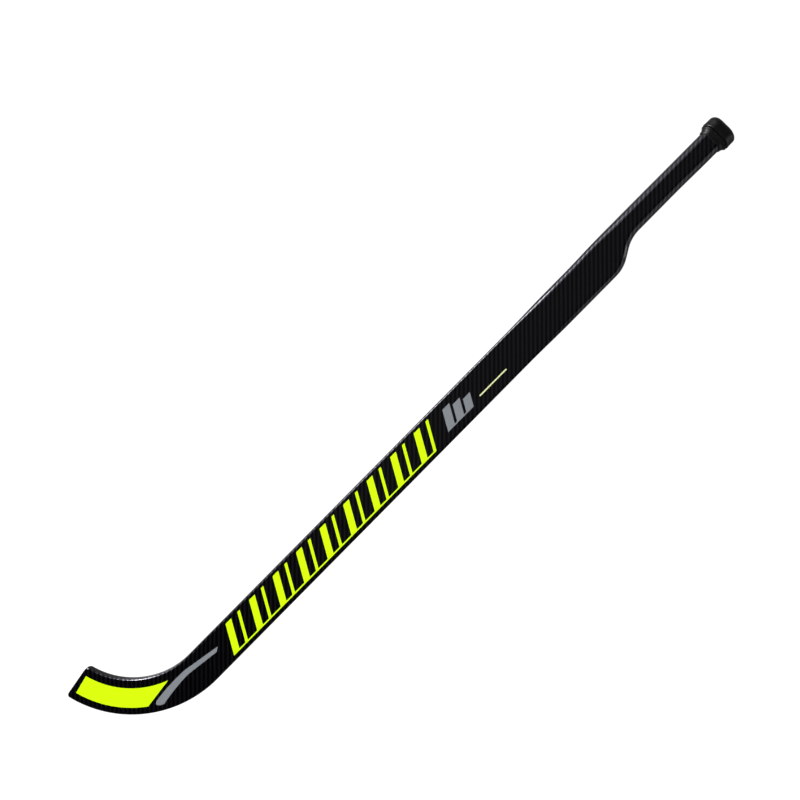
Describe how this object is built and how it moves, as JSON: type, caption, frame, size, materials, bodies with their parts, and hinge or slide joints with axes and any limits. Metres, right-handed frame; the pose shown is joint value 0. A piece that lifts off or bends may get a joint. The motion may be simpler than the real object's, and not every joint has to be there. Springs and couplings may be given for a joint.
{
  "type": "hockey goalie stick",
  "caption": "Flat goalkeeper's stick with a hooked blade, a straight wide paddle, a shoulder step in to a narrow handle, and a slip-on rubber butt cap.",
  "frame": {"origin": "middle of the stick's outline, on the surface that it lies on: the underside of the butt cap", "axes": "+X along the paddle towards the butt, +Y across it towards the side that the hook points to, +Z through the thickness, up from the back face to the front face"},
  "size_m": [1.0612, 0.1242, 0.0272],
  "materials": {
    "carbon_laminate": "black twill-weave carbon fibre under a gloss clear coat",
    "dense_foam": "fine-celled rigid foam, sanded",
    "light_foam": "light rigid foam, sanded",
    "beech": "plain sawn beech",
    "rib_laminate": "matt carbon laminate, unpolished",
    "black_rubber": "satin moulded rubber",
    "yellow_print": "fluorescent yellow print under clear coat",
    "grey_print": "metallic grey print under clear coat",
    "pale_print": "pale yellow print under clear coat"
  },
  "bodies": {
    "stick": {"front_skin": "carbon_laminate", "back_skin": "carbon_laminate", "blade_core": "dense_foam", "heel_block": "beech", "upper_paddle_core": "light_foam", "lower_paddle_core": "light_foam", "paddle_rib": "rib_laminate", "shoulder_block": "dense_foam", "handle_core": "light_foam", "butt_plug": "beech", "front_blade_panel": "yellow_print", "back_blade_panel": "yellow_print", "front_paddle_bars": "yellow_print", "back_paddle_bars": "yellow_print", "front_heel_stripe": "grey_print", "back_heel_stripe": "grey_print", "front_grey_bars": "grey_print", "back_grey_bars": "grey_print", "front_pinstripe": "pale_print", "back_pinstripe": "pale_print"},
    "cap": {"end_cap": "black_rubber"}
  },
  "joints": [
    {"name": "end_cap_slide", "type": "slide", "parent": "stick", "child": "cap", "axis": [1, 0, 0], "range_m": [0, 0.04]}
  ]
}
